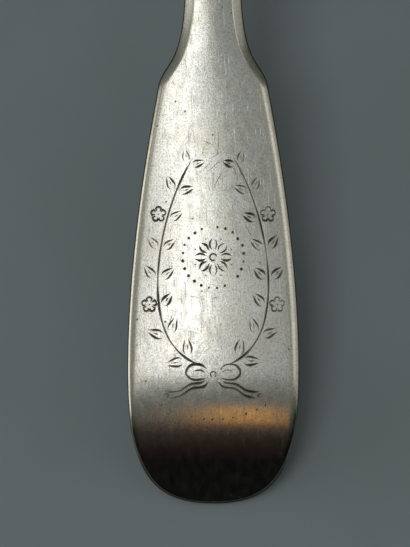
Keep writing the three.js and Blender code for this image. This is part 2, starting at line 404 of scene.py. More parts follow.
def raise_bowl():
    outside = [(share, 0, 0) for share in shares]
    inside = [(share, -RIM_WALL, FLOOR_WALL) for share in reversed(shares)]
    arc = [i / CROWN_STEPS for i in range(CROWN_STEPS - 1, 0, -1)]
    crown = [(1, -RIM_WALL * (1 - t), 0, RIM_ROUND * math.sin(math.pi * t)) for t in arc]
    return egg_shell(outside + crown + inside)


def bowl_space(grow):
    """The space that the bowl takes out of the handle: its outside, grown, and all above it."""
    return egg_shell([(share, grow, -grow) for share in shares] + [(1, grow, -grow, HEEL_RIM_HEIGHT)])


# %% [markdown]
# ## From the bench to the scene
#
# A finished bmesh becomes an object here: scaled from millimetres to metres, moved so that
# the heel is where the frame has it, with its faces shaded smooth and only real edges left
# sharp. Each point also keeps its place on the flat blank, across and along it, in an
# attribute. Scratches and polishing marks follow that place rather than space, so that they
# run along the handle and round its bends, as the strokes of a buff do.
#
# Cuts between solids go through the Boolean modifier with its Manifold solver, which is
# exact on closed meshes and fast.

# %% Finishing a piece
face_places = [p.y for p in face_line]
SHARP_ANGLE = math.radians(30)
TARNISHED = 1  # material slot of the engraver's cuts; the rest of a piece has slot 0


def blank_place(point):
    """Where a point of the handle lies on its blank: across, along, and above its face."""
    i = min(max(bisect(face_places, point.y), 1), len(face_places) - 1)
    before, after = face_line[i - 1], face_line[i]
    share = (point.y - before.y) / (after.y - before.y)
    along = (i - 1 + share) * HANDLE_LENGTH / WALK_STEPS
    return Vector((point.x, along, point.z - before.lerp(after, share).z - face_rise(along, point.x)))


def blank_edge(place):
    """How far a place on the blank is from the blank's edge."""
    return edge_distance(place.y, place.x)


def below_rim(point):
    """How far a point of the bowl is below its rim."""
    return rim_height(point.y) - point.z


def finish_piece(bm, name, place=Vector, from_edge=below_rim):
    """Turns a bmesh in millimetres into an object of the scene, in metres."""
    mesh = bpy.data.meshes.new(name)
    print(f"{name}: {len(bm.faces)} faces, {sum(not edge.is_manifold for edge in bm.edges)} open edges")
    bm.to_mesh(mesh)
    bm.free()
    mesh.attributes.new("blank", "FLOAT_VECTOR", "POINT")
    mesh.attributes.new("from_edge", "FLOAT", "POINT")
    places, edges = mesh.attributes["blank"].data, mesh.attributes["from_edge"].data
    for v in mesh.vertices:
        spot = place(v.co)
        places[v.index].vector = spot * MM
        edges[v.index].value = from_edge(spot) * MM
    mesh.transform(Matrix.Diagonal((MM, MM, MM, 1)) @ Matrix.Translation((0, heel_y, 0)))
    mesh.polygons.foreach_set("use_smooth", [True] * len(mesh.polygons))
    mesh.set_sharp_from_angle(angle=SHARP_ANGLE)
    piece = bpy.data.objects.new(name, mesh)
    bpy.context.scene.collection.objects.link(piece)
    return piece


def bmesh_of(mesh):
    bm = bmesh.new()
    bm.from_mesh(mesh)
    return bm


def combine(operation, solid, *others):
    """One solid cut by, joined to or kept within others, each a bmesh."""
    bench = []
    for bm in (solid, *others):
        mesh = bpy.data.meshes.new("bench")
        for _ in range(TARNISHED + 1):
            mesh.materials.append(None)
        bm.to_mesh(mesh)
        bm.free()
        bench.append(bpy.data.objects.new("bench", mesh))
        bpy.context.scene.collection.objects.link(bench[-1])
    for other in bench[1:]:
        cut = bench[0].modifiers.new("cut", "BOOLEAN")
        cut.operation = operation
        cut.solver = "MANIFOLD"
        cut.object = other
    depsgraph = bpy.context.evaluated_depsgraph_get()
    made = bpy.data.meshes.new_from_object(bench[0].evaluated_get(depsgraph))
    result = bmesh_of(made)
    meshes = [made] + [piece.data for piece in bench]
    for piece in bench:
        bpy.data.objects.remove(piece)
    for mesh in meshes:
        bpy.data.meshes.remove(mesh)
    return result


# %% [markdown]
# ## The handle
#
# The solid starts as a flat grid with one row of faces for each step between two rings. Its
# points are moved onto the blank, closer together towards the edges where the bevel needs
# them. Extruding the whole grid once gives the back and the walls between the two, and then
# every point goes to its height above or below the line of the face. Past the heel the
# metal reaches down to the back of the bowl and thins out into the drop.

# %% Forge the handle
HALF_STEPS = 32  # faces across half the handle
DROP_EDGE = 1  # thickness of the drop's thin end


def depth_to_bowl(along):
    """How deep under the face, on the middle line, the back of the bowl lies."""

    def inside_bowl(depth):
        point = on_handle(along, 0, -depth)
        return point.z > HEEL_RIM_HEIGHT * climb_at((DEEPEST - point.y) / DEEPEST)

    return halve(0, 2 * HEEL_RIM_HEIGHT, inside_bowl, times=30)


@cache
def thickness(along):
    if along <= HANDLE_LENGTH:
        return metal_thickness(along)
    left = (DROP_END - along) / DROP_LENGTH
    return depth_to_bowl(along) + DROP_EDGE + (metal_thickness(HANDLE_LENGTH) - DROP_EDGE) * left**2


def back_rise(along, across):
    """The height of the back, with its rounded edges, against the middle line of the face."""
    fall = edge_fall(edge_distance(along, across), round_width(along), round_depth(along))
    return fall - thickness(along)


def forge_bar():
    bm = bmesh.new()
    bmesh.ops.create_grid(bm, x_segments=len(stations) - 1, y_segments=2 * HALF_STEPS, size=1)
    for v in bm.verts:
        station = stations[round((v.co.x + 1) / 2 * (len(stations) - 1))]
        v.co = (station.x, station.y * math.sin(math.pi / 2 * v.co.y), 0)
    back = bmesh.ops.extrude_face_region(bm, geom=bm.faces[:], use_keep_orig=True)["geom"]
    for v in (g for g in back if isinstance(g, bmesh.types.BMVert)):
        v.co.z = -1
    for v in bm.verts:
        along, across, side = v.co
        v.co = on_handle(along, across, back_rise(along, across) if side else face_rise(along, across))
    bmesh.ops.remove_doubles(bm, verts=bm.verts, dist=1e-4)
    bmesh.ops.recalc_face_normals(bm, faces=bm.faces)
    return bm


bar = forge_bar()
print(f"bar: {bar.calc_volume(signed=True) / 1000:.3f} cubic centimetres")
handle_bm = combine("DIFFERENCE", bar.copy(), bowl_space(JOINT_GAP))
print(f"handle: {handle_bm.calc_volume(signed=True) / 1000:.3f} cubic centimetres")

# %% [markdown]
# ## The engraving
#
# An engraver pushes a V-shaped graver through the metal: a stroke starts as a hair, widens
# as the tool is pressed deeper and runs out again. Painting such lines as a dark texture
# would leave them flat, so each stroke is a real cut here. A triangle is extruded along the
# stroke's route as the body of the graver, sunk below the face by the depth of the cut, and
# taken out of the handle. Where years of polishing have worn the face, the strokes are
# shallower, which a slow noise over the face decides.
#
# The ornament is a common one on old spoons: a wreath of two leafy sprays, tied with a bow,
# round a small rosette, with pricked dots.

# %% Cutting tools
CUT_SPREAD = 1.15  # half the width of a cut against its depth
TOOL_CLEARANCE = 0.14  # how far the tools stand out of the face
START_HEIGHT = 0.015  # how far over the face a stroke starts and ends
WORN_PATCH = 4.5  # the size of the patches where the cuts are worn more or less
MEAN_LEFT = 0.95  # the share of a cut's depth that wear has left
LEFT_VARIES = 0.8
LEAST_LEFT = 0.6
MOST_LEFT = 1.2
CURVE_POINTS = 24  # from one place of a stroke to the next, before they are spaced evenly
rng = random.Random(11)


def at_face(place, rise):
    """The point over a place on the face, given across and along, at a height above it."""
    return on_handle(place.y, place.x, face_rise(place.y, place.x) + rise)


def flowing(points, spacing=0.3):
    """Even steps along a smooth curve through places on the face."""
    points = [Vector((*point, 0)) for point in points]
    ahead = points[1:] + [2 * points[-1] - points[-2]]
    behind = [2 * points[0] - points[1]] + points[:-1]
    pulls = [(q - p) / 6 for p, q in zip(behind, ahead)]
    line = []
    for (a, b), (pull_a, pull_b) in zip(pairwise(points), pairwise(pulls)):
        line += interpolate_bezier(a, a + pull_a, b - pull_b, b, CURVE_POINTS)[bool(line) :]
    return evenly(line, spacing)


def worn(place):
    """How much of a cut's depth is left at a place on the face."""
    left = MEAN_LEFT + LEFT_VARIES * noise.noise(Vector((place.x, place.y, 4)) / WORN_PATCH)
    return min(max(left, LEAST_LEFT), MOST_LEFT)


def graver(bm, points, width, entry=0.3, spacing=0.3):
    """The path of a graver: a V that sinks in over the entry share of its length and rises again."""
    route = flowing(points, spacing)
    last = len(route) - 1
    section = [bm.verts.new() for _ in range(3)]
    face = bm.faces.new(section)
    for i, place in enumerate(route):
        tangent = (route[min(i + 1, last)] - route[max(i - 1, 0)]).normalized()
        normal = Vector((-tangent.y, tangent.x, 0))
        press = smooth(min(i, last - i) / last / entry)
        depth = width / 2 / CUT_SPREAD * press * worn(place) - START_HEIGHT
        reach = (depth + TOOL_CLEARANCE) * CUT_SPREAD * normal
        if i:
            face = bmesh.ops.extrude_discrete_faces(bm, faces=[face])["faces"][0]
        corners = (place - reach, TOOL_CLEARANCE), (place + reach, TOOL_CLEARANCE), (place, -depth)
        for v, (spot, rise) in zip(face.verts, corners):
            v.co = at_face(spot, rise)
    bm.faces.new(section)


def prick(bm, place, width):
    """The cone of a pointed punch, upside down in the face."""
    depth = width / 2 / CUT_SPREAD
    slope = face_slope(place[1], pitch)
    height = depth + TOOL_CLEARANCE
    middle = at_face(Vector((*place, 0)), (TOOL_CLEARANCE - depth) / 2)
    tilt = Matrix.Translation(middle) @ Matrix.Rotation(slope + math.pi, 4, "X")
    cone = {"segments": 8, "radius1": height * CUT_SPREAD, "radius2": 0, "depth": height}
    bmesh.ops.create_cone(bm, cap_ends=True, matrix=tilt, **cone)


def turned(length, degrees):
    return Vector((math.cos(math.radians(degrees)), math.sin(math.radians(degrees)))) * length


def around(middle, radius, heading, places):
    """Places round a middle, from shares of a radius and degrees to the side of a heading."""
    return [middle + turned(radius * out, heading + aside) for out, aside in places]


# %% Leaves, blossoms and the rosette
def leaf(bm, root, heading, length, width=0.48):
    """Two curved cuts that meet at the leaf's point, and a short vein between them."""
    for bulge in (-1, 1):
        side = (0.1, 40 * bulge), (0.45, 26 * bulge), (1, 2 * bulge)
        graver(bm, around(root, length, heading, side), width, 0.45)
    graver(bm, around(root, length, heading, [(0.3, 0), (0.72, 0)]), 0.6 * width, 0.5)


def blossom(bm, middle, radius, petals=5):
    """A ring of looped petals round a dot."""
    petal = (0.35, -16), (0.85, -26), (1.05, 0), (0.85, 26), (0.35, 16)
    for i in range(petals):
        graver(bm, around(middle, radius, 360 * i / petals + 90, petal), 0.42, 0.2, 0.2)
    prick(bm, middle, 0.3)


def rosette(bm, middle, radius, petals=8):
    """Pointed petals round a small ring, with a dot between each two."""
    for i in range(petals):
        heading = 360 * i / petals
        for bulge in (-1, 1):
            side = (0.3, 9 * bulge), (0.68, 15 * bulge), (1, 2 * bulge)
            graver(bm, around(middle, radius, heading, side), 0.48, 0.4)
        prick(bm, middle + turned(radius * 0.98, heading + 180 / petals), 0.3)
    ring = [middle + turned(radius * 0.17, turn) for turn in range(0, 351, 39)]
    graver(bm, ring, 0.34, 0.1, 0.15)


# %% The wreath, its bow and the dots
ROSETTE = Vector((0, 46.5))
ROSETTE_RADIUS = 3.6
GARLAND_RADIUS = 5.6
GARLAND_DOTS = 24
GARLAND_KEPT = 0.85  # the share of its dots that wear has left
LEAF_PAIRS = 8
LEAVES_START = 0.1  # the share of the stem below the first pair
LEAVES_REACH = 0.84  # the share of the stem from the first pair to the last
LEAF_ANGLES = (40, 50)  # degrees from the stem
LEAF_LENGTH = 3.9
LEAF_SHRINKS = 0.14  # from each pair of leaves to the next
BLOSSOM_PAIRS = (2, 5)  # the pairs whose outer leaf is a blossom
BLOSSOM_RADIUS = 1.3
STALK = 1.6  # from the stem to the middle of a blossom
STALK_ANGLE = 62
KNOT = Vector((0, 25.4))
ROW_FROM_END = 17.2
ROW_STEP = 1.9
ROW_BEND = 0.03
ROW_KEPT = 0.8
SCRATCHED = (24, 78)  # where single scratches start, from the end
SCRATCH_REACH = 9  # how far from the middle they start, where the half width is REACH_AT
REACH_AT = 15  # elsewhere it is in proportion

# The right half of the wreath's stem, across and along the face
STEM = [
    (0.5, 26.6), (4.8, 28.2), (8.4, 32.6), (9.9, 39),
    (9.7, 46.5), (8.2, 54), (5.8, 60.6), (3.2, 65.4),
]

# The right half of the ribbon, from the knot: the width of each stroke, then its places
RIBBON = [
    (0.52, (0.7, 0.5), (2.2, 1.7), (4.1, 1.6), (4.9, 0.2), (3.8, -0.9), (2, -0.9), (0.75, -0.25)),
    (0.34, (1.3, 0.25), (2.4, 0.75), (3.6, 0.6)),
    (0.52, (0.45, -0.75), (1.7, -2.2), (3.9, -2.6), (5.9, -3.9), (8.3, -4.4)),
    (0.52, (1.15, -0.75), (2.2, -1.5), (4.1, -1.8), (6.2, -3), (8.9, -3.2)),
    (0.36, (8.5, -4.2), (7.9, -3.8), (8.8, -3.4)),
]


def spray(bm, side):
    """One half of the wreath: a stem with leaves on both sides, and blossoms on its outer side."""
    stem = flowing([(side * across, along) for across, along in STEM], 0.5)
    graver(bm, [p.xy for p in stem[::6]] + [stem[-1].xy], 0.5, 0.12)
    last = len(stem) - 1
    for i in range(LEAF_PAIRS):
        spot = round(last * (LEAVES_START + LEAVES_REACH * i / (LEAF_PAIRS - 1)))
        ahead = stem[min(spot + 2, last)] - stem[spot]
        heading = math.degrees(math.atan2(ahead.y, ahead.x))
        length = (LEAF_LENGTH - LEAF_SHRINKS * i) * rng.uniform(0.92, 1.08)
        for hand in (-1, 1):
            root = stem[spot].xy + turned(0.32, heading + 90 * hand)
            if i in BLOSSOM_PAIRS and hand == -side:
                blossom(bm, root + turned(STALK, heading + STALK_ANGLE * hand), BLOSSOM_RADIUS)
            else:
                leaf(bm, root, heading + hand * rng.uniform(*LEAF_ANGLES), length)


def bow(bm):
    """A tied ribbon: two loops, a knot and two waving ends."""
    for side in (-1, 1):
        for width, *places in RIBBON:
            route = [(KNOT.x + side * across, KNOT.y + along) for across, along in places]
            graver(bm, route, width, 0.2)
    graver(bm, [KNOT + turned(0.5, turn) for turn in range(-80, 261, 34)], 0.42, 0.1, 0.15)


def dots(bm):
    """Pricked dots: a garland round the rosette, and a loose row below the bow."""
    for i in range(GARLAND_DOTS):
        if rng.random() < GARLAND_KEPT:
            radius = GARLAND_RADIUS + 0.12 * rng.uniform(-1, 1)
            place = ROSETTE + turned(radius, 360 * i / GARLAND_DOTS + 7)
            prick(bm, place, rng.uniform(0.45, 0.68))
    for i in range(-5, 6):
        if rng.random() < ROW_KEPT:
            across = ROW_STEP * i + rng.uniform(-0.3, 0.3)
            place = Vector((across, ROW_FROM_END + ROW_BEND * across**2))
            prick(bm, place, rng.uniform(0.4, 0.62))


def scratches(bm, count=34):
    """Single scratches from a hundred years of use, most of them near lengthwise."""
    for _ in range(count):
        start = Vector((rng.uniform(-SCRATCH_REACH, SCRATCH_REACH), rng.uniform(*SCRATCHED)))
        start.x *= half_width(start.y) / REACH_AT
        length = rng.uniform(1.5, 7)
        heading = rng.gauss(90, 32)
        bend = rng.uniform(-5, 5)
        middle = start + turned(length / 2, heading)
        end = middle + turned(length / 2, heading + bend)
        graver(bm, [start, middle, end], rng.uniform(0.09, 0.17), 0.5, 0.8)


jobs = (spray, -1), (spray, 1), (bow,), (rosette, ROSETTE, ROSETTE_RADIUS), (dots,), (scratches,)
tools = []
for work, *sizes in jobs:
    tool = bmesh.new()
    work(tool, *sizes)
    bmesh.ops.recalc_face_normals(tool, faces=tool.faces)
    for cut_face in tool.faces:
        cut_face.material_index = TARNISHED
    tools.append(tool)
    print(f"{len(tool.faces)} faces on a tool, {sum(not e.is_manifold for e in tool.edges)} open edges")
handle_bm = combine("DIFFERENCE", handle_bm, *tools)
cuts = sum(face.material_index == TARNISHED for face in handle_bm.faces)
volume = handle_bm.calc_volume(signed=True) / 1000
print(f"{cuts} faces in the cuts; volume {volume:.4f} cubic centimetres")

# %% Make the pieces
FILM_GAP = 0.02  # between the solder and the silver on each side of it

handle = finish_piece(handle_bm, "forged_handle", blank_place, blank_edge)
bowl = finish_piece(raise_bowl(), "raised_bowl")
film = combine("INTERSECT", bar, bowl_space(JOINT_GAP - FILM_GAP))
solder = finish_piece(combine("DIFFERENCE", film, bowl_space(FILM_GAP)), "solder_film")
for piece, cad_node, slot in (
    (handle, "handle", "handle_silver"),
    (bowl, "bowl", "bowl_silver"),
    (solder, "solder_seam", "silver_solder"),
):
    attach(piece, "root")
    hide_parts(cad_node)

# %% [markdown]
# ## Camera
#
# The photograph looks down on the fiddle from above its end. Its picture is 410 by 547
# pixels, and near the widest place of the fiddle, 22.5 mm from the end in plan, one pixel is
# 0.18 mm. The camera stands 300 mm from that place, which sets the lens.

# %% Camera
PICTURE = (410, 547)
WIDEST_FROM_END = 22.5
WIDEST_PIXEL = (213.3, 366)
PIXEL = 0.1797  # millimetres
CAMERA_DISTANCE = 300
CAMERA_ELEVATION = math.radians(76)
SENSOR = 36

widest_y = handle_low.y - heel_y + WIDEST_FROM_END
widest = next(p for p in face_line if p.y > widest_y) + Vector((0, heel_y, 0))
back = Vector((0, -math.cos(CAMERA_ELEVATION), math.sin(CAMERA_ELEVATION)))
up = Vector((0, math.sin(CAMERA_ELEVATION), math.cos(CAMERA_ELEVATION)))
left_by = (WIDEST_PIXEL[0] - PICTURE[0] / 2) * PIXEL
up_by = (WIDEST_PIXEL[1] - PICTURE[1] / 2) * PIXEL
camera = bpy.data.objects.new("camera", bpy.data.cameras.new("camera"))
camera.data.sensor_width = SENSOR
camera.data.lens = SENSOR * CAMERA_DISTANCE / PIXEL / PICTURE[1]
camera.data.clip_start = 0.01
facing = widest - Vector((left_by, 0, 0))
camera.location = (facing + CAMERA_DISTANCE * back) * MM
aim = (facing + up_by * up) * MM
camera.rotation_euler = (aim - camera.location).to_track_quat("-Z", "Y").to_euler()
bpy.context.scene.collection.objects.link(camera)
bpy.context.scene.camera = camera
print(f"lens {camera.data.lens:.1f} mm")

# %% [markdown]
# ## Light
#
# Polished metal has almost no colour of its own and shows its surroundings, so what this
# spoon looks like is decided by what stands round it. One big window would give the face an
# even white, but the photograph shows a bright left half, a grey right half, a warm streak
# near the end and black below it, which is a dim room with several bright things in it.
#
# The way to find such a room is to work backwards. Each place on the face reflects one
# direction: the flat fiddle looks almost straight up and back, the turned-down end looks
# towards the viewer, and the bevels look far out to the sides. So every lamp is placed by
# the direction it is seen in from the spoon, and is as large as its reflection. The middle
# of the handle is curved only a little from side to side, and sees no more than eight
# degrees to either side, so the lamps for it are small. Larger lamps far out at the sides
# draw the bright lines along the edges. One more lamp lights the table and casts the shadow
# to the right. It is kept out of the reflections, as a photographer would flag it off, or
# the silver would show it too.

# %% Placing a lamp by what the silver sees
LAMP_DISTANCE = 0.9  # metres
FACE_MIDDLE = 45  # from the end of the handle

subject = (between(face_line, FACE_MIDDLE) + Vector((0, heel_y, 0))) * MM


def linear(hex_colour):
    """An sRGB hex colour as the linear colour, with its alpha, that shader sockets take."""
    parts = [int(hex_colour[i : i + 2], 16) / 255 for i in (1, 3, 5)]
    return [c / 12.92 if c <= 0.04045 else ((c + 0.055) / 1.055) ** 2.4 for c in parts] + [1]


def direction(side, front):
    """A direction from the spoon: degrees to the right, and degrees up from the front."""
    side, front = math.radians(side), math.radians(front)
    return Vector((math.sin(side), -math.cos(side) * math.cos(front), math.cos(side) * math.sin(front)))


def softbox(name, side, front, width, height, radiance, colour="#ffffff", mirrored=True):
    """A soft lamp aimed at the fiddle, sized in degrees as the spoon sees it, and mirrored or not."""
    lamp = bpy.data.lights.new(name, "AREA")
    lamp.shape = "RECTANGLE"
    lamp.size = 2 * LAMP_DISTANCE * math.tan(math.radians(width / 2))
    lamp.size_y = 2 * LAMP_DISTANCE * math.tan(math.radians(height / 2))
    lamp.energy = radiance * math.pi * lamp.size * lamp.size_y
    lamp.color = linear(colour)[:3]
    away = direction(side, front)
    up = Vector((0, math.sin(math.radians(front)), math.cos(math.radians(front))))
    across = up.cross(away).normalized()
    box = bpy.data.objects.new(name, lamp)
    box.location = subject + LAMP_DISTANCE * away
    box.rotation_euler = Matrix((across, away.cross(across), away)).transposed().to_euler()
    box.visible_camera = False
    box.visible_glossy = mirrored
    bpy.context.scene.collection.objects.link(box)


# %% The lamps
# The bright left half of the face, from the neck down to the turn of the end
softbox("neck", side=-15, front=98, width=12, height=14, radiance=1.35)
softbox("shoulders", side=-7, front=90.5, width=6.5, height=8, radiance=1.55)
softbox("face", side=-3, front=82.5, width=6, height=11, radiance=1.68)
softbox("belly", side=-1, front=79.4, width=24, height=5, radiance=0.38)
softbox("belly_left", side=-8, front=79, width=11, height=4, radiance=0.9)
softbox("turn_left", side=-14, front=73, width=8, height=9, radiance=0.5)

# The bright lines along the two edges, and the table
softbox("left_edge", side=-72, front=78, width=30, height=40, radiance=1.1)
softbox("left_corner", side=-32, front=101, width=12, height=6, radiance=0.8)
softbox("right_bevel", side=19, front=80, width=10, height=22, radiance=0.08)
softbox("right_edge", side=36, front=89, width=24, height=25, radiance=0.62)
softbox("right_neck", side=68, front=95, width=36, height=38, radiance=0.28)
softbox("table", side=-20, front=78, width=24, height=20, radiance=4.8, mirrored=False)

# The warm streak on the turned-down end, and its glow below, which fades to black
softbox("streak", side=3.7, front=53.6, width=8.8, height=12.6, radiance=0.53, colour="#ffb038")
softbox("ember", side=0, front=43.5, width=16, height=6, radiance=0.04, colour="#e0603a")
softbox("afterglow", side=0, front=30, width=16, height=14, radiance=0.01, colour="#ffac95")
print(f"{len(bpy.data.lights)} lamps")

# %% [markdown]
# ## Materials from nodes
#
# All the materials are built by one small function that adds a node with its settings and
# links, so that a material reads as a list of what it does. A material is a function that
# gets an empty node tree and returns the shader.


# %% Adding nodes
def node(tree, kind, inputs=None, **settings):
    """Adds a shader node with its settings; each input, by name or number, gets a value or a node."""
    new = tree.nodes.new("ShaderNode" + kind)
    for name, value in settings.items():
        setattr(new, name, value)
    open_inputs = [socket for socket in new.inputs if socket.enabled]
    for name, value in (inputs or {}).items():
        named = (socket for socket in open_inputs if socket.name == name)
        socket = open_inputs[name] if isinstance(name, int) else next(named)
        if isinstance(value, bpy.types.Node):
            value = next(output for output in value.outputs if output.enabled)
        if isinstance(value, bpy.types.NodeSocket):
            tree.links.new(value, socket)
        else:
            socket.default_value = value
    return new


def material(name, surface):
    """A material whose nodes surface(tree) makes; it returns the shader."""
    made = bpy.data.materials.new(name)
    made.use_nodes = True
    made.node_tree.nodes.clear()
    node(made.node_tree, "OutputMaterial", {"Surface": surface(made.node_tree)})
    print(f"{name}: {len(made.node_tree.nodes)} nodes")
    return made


# %% [markdown]
# ## The dim room
#
# Between the lamps the silver shows the room. It is greyish green, brightest overhead and
# almost black low down in front, where the viewer stands. That darkness is what makes the
# turned-down end black. The world is a colour ramp over the angle up from the front, and it
# is a little brighter to the left.

# %% The room
# Degrees up from the front, and how bright the room is there
ROOM = [
    (28, 0.003),
    (38, 0.014),
    (46, 0.036),
    (56, 0.095),
    (66, 0.14),
    (76, 0.19),
    (90, 0.29),
    (112, 0.2),
    (140, 0.12),
]
ROOM_TINT = (0.96, 1.02, 1)
LEFT_GAIN = 0.35  # how much brighter the room is at the far left than in the middle

world = bpy.data.worlds.new("dim_room")
world.use_nodes = True
bpy.context.scene.world = world
room = world.node_tree
room.nodes.clear()
sky = node(room, "TexCoord").outputs["Generated"]
toward = node(room, "SeparateXYZ", {"Vector": sky}).outputs
ahead = node(room, "Math", {0: toward["Y"], 1: -1}, operation="MULTIPLY")
raised = node(room, "Math", {0: toward["Z"], 1: ahead}, operation="ARCTAN2")
half_turns = node(room, "Math", {0: raised, 1: math.pi}, operation="DIVIDE")
wall = node(room, "ValToRGB", {0: half_turns})
wall.color_ramp.interpolation = "EASE"
for degrees, brightness in ROOM:
    stop = wall.color_ramp.elements.new(degrees / 180)
    stop.color = (*[brightness * tint for tint in ROOM_TINT], 1)
for end in (0, -1):  # the two stops that a new ramp comes with
    wall.color_ramp.elements.remove(wall.color_ramp.elements[end])
leftward = node(room, "Math", {0: toward["X"], 1: -LEFT_GAIN, 2: 1}, operation="MULTIPLY_ADD")
glow = node(room, "Background", {"Color": wall, "Strength": leftward})
node(room, "OutputWorld", {"Surface": glow})
bpy.context.scene.view_settings.view_transform = "Standard"

# %% [markdown]
# ## The table
#
# The spoon lies on a board with a matt grey paint. To the eye that is an even colour that
# catches no highlights. Paint put on with a roller has a fine stipple about a millimetre
# across, and a board that has been used is a touch darker in some places than in others.
# Both are drawn with noise, so faintly that the silver stays the subject.

# %% A painted board
BOARD_SIDE = 6  # metres


def matt_grey_paint(tree):
    where = node(tree, "TexCoord").outputs["Object"]
    stipple = node(tree, "TexNoise", {"Vector": where, "Scale": 1 / (1.1 * MM), "Detail": 2})
    soiling = node(tree, "TexNoise", {"Vector": where, "Scale": 1 / (45 * MM), "Detail": 3})
    worn = node(tree, "MapRange", {"Value": soiling, "From Min": 0.35, "From Max": 0.65})
    colours = {"Factor": worn, "A": linear("#7b8485"), "B": linear("#80898b")}
    colour = node(tree, "Mix", colours, data_type="RGBA")
    bump = node(tree, "Bump", {"Height": stipple, "Distance": 0.03 * MM})
    inputs = {"Base Color": colour, "Roughness": 0.8, "Normal": bump}
    return node(tree, "BsdfPrincipled", inputs)


bm = bmesh.new()
bmesh.ops.create_grid(bm, x_segments=4, y_segments=4, size=BOARD_SIDE / 2)
board_mesh = bpy.data.meshes.new("board")
bm.to_mesh(board_mesh)
bm.free()
board_mesh.materials.append(material("matt_painted_board", matt_grey_paint))
board = bpy.data.objects.new("board", board_mesh)
bpy.context.scene.collection.objects.link(board)

# %% [markdown]
# ## Worn silver of the handle
#
# Sterling silver is polished on a rotary buff, and a spoon that has been used and rubbed for
# a century has a satin look: bright, slightly warm, and dull close by. To the eye that is a
# metal that mirrors only large, soft shapes, under a web of marks of many sizes:
#
# - the strokes of the buff, much longer than wide, along the handle
# - a fine mottle, which breaks up every reflection
# - slow waves left by the hammer and the file, which make straight reflections wander
# - thin scratches in a few directions, and small pits
#
# Real buffing strokes are some hundredths of a millimetre wide and can't be told apart in
# this picture, where a pixel is 0.18 mm. They are drawn 0.14 to 0.28 mm wide here, because
# that is the finest that shows. An anisotropic shader could give their sheen without lines,
# but the photograph shows the lines too, so all the marks are heights in millimetres, added
# up for one bump.
#
# The colour also tells the age. Silver is whitest where it is rubbed, and yellower along
# the edges and in patches, where its thin tarnish stays. The walls of the edges, their brink
# and the bevel round the end get painted shade: a dark colour for the shadowed table that
# they would mirror. There the surface is also made dull and not metallic, so that it mirrors
# nothing. The turned-down end is handled most and is smoothest.


# %% Marks in metal
SCRATCH_DEPTH = 0.003
SCRATCH_DULLING = 0.1
SCRATCH_RISE = 0.06  # how much the noise rises from a scratch's edge to its middle
PIT_DEPTH = 0.03
PIT_SLOPE = 0.05  # half the width of a pit's side
PIT_CHANCE = (0.72, 0.9)  # a cell's random number where its pit starts to show, and is full


def grain(tree, place, across, along, turn=0, detail=2, start=0):
    """A noise drawn out to real sizes in millimetres, across and along the piece."""
    settings = {
        "Vector": place,
        "Location": (start, start, 0),
        "Rotation": (0, 0, math.radians(turn)),
        "Scale": (across * MM, along * MM, across * MM),
    }
    at = node(tree, "Mapping", settings, vector_type="TEXTURE")
    return node(tree, "TexNoise", {"Vector": at, "Scale": 1, "Detail": detail})


def summed(tree, place, marks):
    """The height of marks given as sizes across and along, turn in degrees and height, all in mm."""
    total = 0.0
    for across, along, turn, height in marks:
        mark = grain(tree, place, across, along, turn)
        total = node(tree, "Math", {0: mark, 1: height, 2: total}, operation="MULTIPLY_ADD")
    return total


def patches(tree, place, size, low, high, least=0.0, most=1.0, detail=3, start=0):
    """Patches of a real size in mm: from least to most, as their noise rises from low to high."""
    cloud = grain(tree, place, *size, detail=detail, start=start)
    rise = {"Value": cloud, "From Min": low, "From Max": high, "To Min": least, "To Max": most}
    return node(tree, "MapRange", rise)


def hairlines(tree, place, directions, strength=1.0):
    """Scratches, 0 to strength: the highest ridges of a few noises that are drawn out long."""
    total = 0.0
    for i, (*size, rarity) in enumerate(directions):
        ends = {"low": rarity, "high": rarity + SCRATCH_RISE, "most": strength}
        scratch = patches(tree, place, size, **ends, detail=1, start=0.03 * (i + 1))
        total = node(tree, "Math", {0: scratch, 1: total}, operation="MAXIMUM")
    return total


def scratched(tree, scratches, relief, satin):
    """Relief and roughness with scratches in them, which are a little deeper and duller."""
    deeper = {0: scratches, 1: -SCRATCH_DEPTH, 2: relief}
    duller = {0: scratches, 1: SCRATCH_DULLING, 2: satin}
    return [node(tree, "Math", marked, operation="MULTIPLY_ADD") for marked in (deeper, duller)]


def pits(tree, place, spacing, radius):
    """Small round pits, 0 to 1, in about one in five cells of a Voronoi pattern."""
    cells = node(tree, "TexVoronoi", {"Vector": place, "Scale": 1 / (spacing * MM)}).outputs
    edge, floor = (radius + PIT_SLOPE) / spacing, (radius - PIT_SLOPE) / spacing
    pit = node(tree, "MapRange", {"Value": cells["Distance"], "From Min": edge, "From Max": floor})
    chance = node(tree, "SeparateColor", {"Color": cells["Color"]})
    shows, full = PIT_CHANCE
    chosen = node(tree, "MapRange", {"Value": chance, "From Min": shows, "From Max": full})
    return node(tree, "Math", {0: pit, 1: chosen}, operation="MULTIPLY")


def layered(tree, base, *layers):
    """A hex colour with others laid over it, each as far as its factor goes."""
    colour = linear(base)
    for factor, hex_colour in layers:
        inputs = {"Factor": factor, "A": colour, "B": linear(hex_colour)}
        colour = node(tree, "Mix", inputs, data_type="RGBA")
    return colour


# %% Worn silver of the handle
# Across, along, turn, height
HANDLE_MARKS = [
    (0.28, 5, 2, 0.0025),
    (0.14, 6, -3, 0.0018),
    (3, 0.3, 4, 0.001),
    (0.23, 0.29, 0, 0.004),
    (0.5, 0.65, 0, 0.003),
    (7, 9, 0, 0.01),
]
# Across, along, turn, and how rare they are
HANDLE_SCRATCHES = [(0.2, 5, -22, 0.7), (0.2, 4, 27, 0.71), (0.15, 9, 75, 0.73), (0.18, 7, 3, 0.66)]
EDGE_DULLING = 0.06
# How much duller the painted shade at the edges makes the silver
EDGE_SHADE_DULLING = 0.4
PIT_SPACING = 1.7
PIT_RADIUS = 0.14
